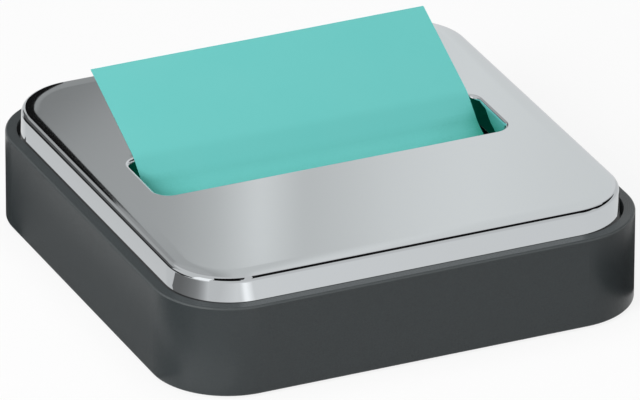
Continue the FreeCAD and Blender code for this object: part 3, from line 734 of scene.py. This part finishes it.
def on_points(make, link, points, piece, rotation=None):
    """The piece set on each point, as one mesh."""
    placed = make.new("GeometryNodeInstanceOnPoints")
    link(points, placed.inputs["Points"])
    link(piece, placed.inputs["Instance"])
    if rotation is not None:
        link(rotation, placed.inputs["Rotation"])
    real = make.new("GeometryNodeRealizeInstances")
    link(placed.outputs[0], real.inputs[0])
    return real.outputs[0]


def coated(make, link, shape, finish, leave):
    """Gives a shape its material and hands it out of the tree."""
    item = make.new("GeometryNodeSetMaterial")
    link(shape, item.inputs["Geometry"])
    link(finish, item.inputs["Material"])
    link(item.outputs[0], leave.inputs["Geometry"])


def shaped(name, tree, **values):
    """Plain mesh object from a geometry node tree and the values of its inputs."""
    host = mesh_object(name, [], [])
    modifier = host.modifiers.new("shape", "NODES")
    modifier.node_group = tree
    for item in tree.interface.items_tree:
        label = item.name.replace(" ", "_")
        if item.in_out == "INPUT" and label in values:
            modifier[item.identifier] = values[label]
    bpy.context.view_layer.update()
    result = host.evaluated_get(bpy.context.evaluated_depsgraph_get())
    mesh = bpy.data.meshes.new_from_object(result)
    host.modifiers.remove(modifier)
    host.data = mesh
    mesh.name = name
    return host


four_corners, make, link, enter, leave = node_shape("four_corners", {
    "Piece": ("NodeSocketObject", None), "Finish": ("NodeSocketMaterial", None),
    "Spacing": ("NodeSocketFloat", 0.08), "Height": ("NodeSocketFloat", 0.0),
    "Turn": ("NodeSocketFloat", 0.0), "Seed": ("NodeSocketInt", 1)})
grid = make.new("GeometryNodeMeshGrid")
for axis in "XY":
    grid.inputs[f"Vertices {axis}"].default_value = 2
    link(enter.outputs["Spacing"], grid.inputs[f"Size {axis}"])
raised = moved(make, link, grid.outputs["Mesh"], vector(make, link, Z=enter.outputs["Height"]))
piece = make.new("GeometryNodeObjectInfo")
link(enter.outputs["Piece"], piece.inputs["Object"])
spin = chance(make, link, 0.0, enter.outputs["Turn"], enter.outputs["Seed"])
coated(make, link, on_points(make, link, raised, piece.outputs["Geometry"],
                             vector(make, link, Z=spin)), enter.outputs["Finish"], leave)

screw_finish = metal("screw_steel", (0.58, 0.58, 0.56), 0.25, Grain_Size=0.15, Smudge_Size=2,
                     Low=0.18, High=0.45, Depth=0.004)
screw_low, screw_high = box_in_mm("cover_screw_3")
screws = shaped("cover_screws", four_corners, Piece=screw, Finish=screw_finish,
                Spacing=(screw_low.x + screw_high.x) / 1000,
                Height=(screw_low.z + head_height) / 1000, Turn=math.pi / 2, Seed=4)
bpy.data.objects.remove(screw)
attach(screws, "root")
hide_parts("cover_screw_1", "cover_screw_2", "cover_screw_3", "cover_screw_4")


# Feet: four discs of soft black rubber with a ringed sole, stuck in round recesses of the bottom
# cover. They stand half a millimetre proud.
foot_radius, foot_height, foot_round, round_steps = 6.5, 1.8, 0.4, 6
ring_depth, ring_mouth, ring_floor = 0.12, 0.25, 0.12
foot_profile = [(0, foot_height), (foot_radius, foot_height)]
for step in range(round_steps + 1):
    angle = math.pi / 2 * step / round_steps
    foot_profile.append((foot_radius - foot_round + foot_round * math.cos(angle),
                         foot_round - foot_round * math.sin(angle)))
for ring in (5.2, 4.2, 3.2, 2.2):
    foot_profile += [(ring + ring_mouth, 0), (ring + ring_floor, ring_depth),
                     (ring - ring_floor, ring_depth), (ring - ring_mouth, 0)]
foot_profile.append((0, 0))
foot = finished_mesh("foot", turned("foot", foot_profile)[0])
rubber = moulded(
    "foot_rubber", (0.014, 0.014, 0.014), (0.022, 0.021, 0.021), specular=0.3, Grain_Size=0.2,
    Depth=0.012, Cloud_Size=3, Low=0.7, High=0.9)
foot_low, foot_high = box_in_mm("foot_3")
feet = shaped("rubber_feet", four_corners, Piece=foot, Finish=rubber,
              Spacing=(foot_low.x + foot_high.x) / 1000, Height=0.0, Turn=1.0, Seed=2)
bpy.data.objects.remove(foot)
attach(feet, "root")
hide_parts("foot_1", "foot_2", "foot_3", "foot_4")


# Note pad: the folded notes that are left in the well, teal paper gummed at alternate ends, so
# that every second sheet lies a little further forward.
paper_fibre, make, link, enter, leave = shared_effect(
    "paper_fibre", {"Fibre Size": 0.5, "Fleck": 0.5, "Depth": 0.004},
    {"Tone": "NodeSocketFloat", "Normal": "NodeSocketVector"})
fibre = noise(make, link, scaled_place(make, link, enter.outputs["Fibre Size"]), Detail=6,
              Roughness=0.65)
cloud = noise(make, link, object_place(make), Scale=60)
blend = make.new("ShaderNodeMix")
link(enter.outputs["Fleck"], blend.inputs["Factor"])
link(cloud, blend.inputs["A"])
link(fibre, blend.inputs["B"])
link(blend.outputs["Result"], leave.inputs["Tone"])
link(relief(make, link, fibre, enter.outputs["Depth"]), leave.inputs["Normal"])


def paper_finish(name, dark, light, roughness, **fibres):
    """Uncoated paper or board whose tone follows its fibres."""
    material = principled(name, dark, roughness)
    make, link, shader = opened(material)
    effect = use_effect(make, paper_fibre, fibres)
    link(two_tone(make, link, effect.outputs["Tone"], dark, light), shader.inputs["Base Color"])
    link(effect.outputs["Normal"], shader.inputs["Normal"])
    shader.inputs["Specular IOR Level"].default_value = 0.2
    return material


# Deep between the sheets and low in the slot the teal is painted dark green as shade, with a faint
# painted glow that stands for the light in the stack, and some of the light on a sheet soaks through
# it.
note_paper = paper_finish(
    "note_paper", (0.165, 0.630, 0.607), (0.210, 0.662, 0.640), 0.85, Fibre_Size=0.6, Fleck=0.5,
    Depth=0.003)
make, link, shader = opened(note_paper)
# painted shade: dark green where little is open round the sheet
painted_crease_shade = openness(make, link, 0.015, [(0.52, 0.0), (0.90, 1.0)])
link(two_tone(make, link, painted_crease_shade, (0.005, 0.20, 0.13), fed_by(shader, "Base Color")),
     shader.inputs["Base Color"])
# painted glow: a faint teal emission on every sheet
shader.inputs["Emission Color"].default_value = (0, 0.75, 0.5, 1)
shader.inputs["Emission Strength"].default_value = 0.04
through = make.new("ShaderNodeBsdfTranslucent")
through.inputs["Color"].default_value = (0.03, 0.60, 0.45, 1)
soaked_share = 0.2
sheet = mixed(make, link, soaked_share, shader.outputs[0], through.outputs[0])

# What lies below a sheet gets light through its underside. The left end of the risen note isn't
# mirrored, as the steel beside it shows no teal.
downward, left_line, risen_line = -0.2, -0.029, lid_top / 1000 - 0.001
side, path = make.new("ShaderNodeNewGeometry"), make.new("ShaderNodeLightPath")
under = arithmetic(make, link, "LESS_THAN", axes_of(make, link, side.outputs["Normal"])["Z"],
                   downward)
underside = arithmetic(make, link, "GREATER_THAN", under, side.outputs["Backfacing"])
lit_through = arithmetic(make, link, "MULTIPLY", underside, path.outputs["Is Diffuse Ray"])
place = axes_of(make, link, object_place(make))
left_end = arithmetic(make, link, "LESS_THAN", place["X"], left_line)
risen = arithmetic(make, link, "GREATER_THAN", place["Z"], risen_line)
left_rise = arithmetic(make, link, "MULTIPLY", left_end, risen)
unmirrored = arithmetic(make, link, "MULTIPLY", left_rise, path.outputs["Is Glossy Ray"])
unseen = arithmetic(make, link, "ADD", unmirrored, lit_through)
clear = make.new("ShaderNodeBsdfTransparent")
link(mixed(make, link, unseen, sheet, clear.outputs[0]), make["Material Output"].inputs["Surface"])

pad_stack, make, link, enter, leave = node_shape("pad_stack", {
    "Sheets": ("NodeSocketInt", 40), "Side": ("NodeSocketFloat", 0.076),
    "Rise": ("NodeSocketFloat", 0.006), "Foot": ("NodeSocketFloat", 0.007),
    "Fold Shift": ("NodeSocketFloat", 0.0002), "Finish": ("NodeSocketMaterial", None),
    "Seed": ("NodeSocketInt", 1)})
leaf_share, side_drift = 0.8, 0.00008
pitch = arithmetic(make, link, "DIVIDE", enter.outputs["Rise"], enter.outputs["Sheets"])
leaf = make.new("GeometryNodeMeshCube")
link(vector(make, link, X=enter.outputs["Side"], Y=enter.outputs["Side"],
            Z=arithmetic(make, link, "MULTIPLY", pitch, leaf_share)), leaf.inputs["Size"])
half = arithmetic(make, link, "MULTIPLY", pitch, 0.5)
first = arithmetic(make, link, "ADD", enter.outputs["Foot"], half)
column = make.new("GeometryNodeMeshLine")
link(enter.outputs["Sheets"], column.inputs["Count"])
link(vector(make, link, Z=first), column.inputs["Start Location"])
link(vector(make, link, Z=pitch), column.inputs["Offset"])
number = make.new("GeometryNodeInputIndex")
odd = arithmetic(make, link, "MODULO", number.outputs[0], 2.0)
forward = arithmetic(make, link, "MULTIPLY", arithmetic(make, link, "SUBTRACT", odd, 0.5),
                     enter.outputs["Fold Shift"])
drift = chance(make, link, -side_drift, side_drift, enter.outputs["Seed"])
jogged = moved(make, link, column.outputs["Mesh"], vector(make, link, X=drift, Y=forward))
coated(make, link, on_points(make, link, jogged, leaf.outputs["Mesh"]), enter.outputs["Finish"],
       leave)

pad_low, pad_high = map(Vector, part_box("note_pad"))
fold_shift = 0.00024
note_stack = shaped("note_stack", pad_stack, Sheets=40, Side=pad_high.x * 2 - 2 * fold_shift,
                    Rise=pad_high.z - pad_low.z, Foot=pad_low.z, Fold_Shift=fold_shift,
                    Finish=note_paper, Seed=7)
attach(note_stack, "root")
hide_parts("note_pad")


# Standing note: the top sheet of teal paper, lifted off the pad through the throat and bent over
# the back lip of the slot. It waves a little across its width, and its left end hangs lower.
note_side, note_thick, note_shift = 76.2, 0.12, 0.3
note_front, note_rest = -39.4, pad_high.z * 1000 + 0.1
throat_angle, tail_angle = 42.0, 25.2
note_runs = [(14.8, 50.0, 24.0), (7.311, 8.0, throat_angle), (5.1, 8.0, tail_angle)]
wave_height, wave_count, wave_start = 0.05, 1.2, 0.15
droop_depth, droop_share = 0.30, 0.35


def note_path(run_steps=4, bend_steps=14, tail_steps=24):
    """Middle line of the sheet as (distance, y, z, angle) points from its front end, through
    straight runs that each end in a bend of a radius up to an angle; and the tail's length."""
    found = [(0, note_front, note_rest, 0)]

    def straight(length, steps):
        travelled, y, z, angle = found[-1]
        for step in range(1, steps + 1):
            found.append((travelled + length * step / steps,
                          y + length * step / steps * math.cos(angle),
                          z + length * step / steps * math.sin(angle), angle))

    for run, radius, after in note_runs:
        straight(run, run_steps)
        travelled, y, z, angle = found[-1]
        turn = math.radians(after) - angle
        sign = math.copysign(1, turn)
        middle = (y - sign * radius * math.sin(angle), z + sign * radius * math.cos(angle))
        for step in range(1, bend_steps + 1):
            now = angle + turn * step / bend_steps
            found.append((travelled + radius * abs(turn) * step / bend_steps,
                          middle[0] + sign * radius * math.sin(now),
                          middle[1] - sign * radius * math.cos(now), now))
    tail = note_side - found[-1][0]
    straight(tail, tail_steps)
    return found, tail


note_line, tail = note_path()
columns = 36
points = []
for side in (1, -1):
    for distance, y, z, angle in note_line:
        free = max(0, 1 - (note_side - distance) / tail)
        for column in range(columns + 1):
            share = column / columns
            wave = wave_height * math.sin(math.tau * (wave_count * share + wave_start)) - wave_height
            droop = -droop_depth * max(0, droop_share - share) * free
            off = free ** 2 * wave + free * droop + side * note_thick / 2
            points.append((((share - 0.5) * note_side + note_shift) / 1000,
                           (y - off * math.sin(angle)) / 1000,
                           (z + off * math.cos(angle)) / 1000))
rows = len(note_line)
width = columns + 1
back = rows * width
faces = []
for row in range(rows - 1):
    for column in range(columns):
        a = row * width + column
        faces.append((a, a + 1, a + width + 1, a + width))
        faces.append((back + a, back + a + width, back + a + width + 1, back + a + 1))
    for a, flip in ((row * width, False), (row * width + columns, True)):
        wall = (a, a + width, back + a + width, back + a)
        faces.append(wall[::-1] if flip else wall)
for column in range(columns):
    for a, flip in ((column, True), ((rows - 1) * width + column, False)):
        wall = (a, a + 1, back + a + 1, back + a)
        faces.append(wall[::-1] if flip else wall)
standing_note = mesh_object("standing_note", points, faces)
standing_note.data.polygons.foreach_set("use_smooth", [True] * len(faces))
standing_note.data.set_sharp_from_angle(angle=math.radians(40))
standing_note.data.materials.append(note_paper)
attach(standing_note, "root")
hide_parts("popup_note")


# Backing card: the sheet of grey-brown board under the pad, with long fibres and flecks. It lies
# loose on the floor of the well and keeps the stack flat.
board_finish = paper_finish(
    "card_board", (0.33, 0.27, 0.21), (0.52, 0.45, 0.37), 0.9, Fibre_Size=0.9, Fleck=0.8,
    Depth=0.02)
dress(board_finish, "backing_card")
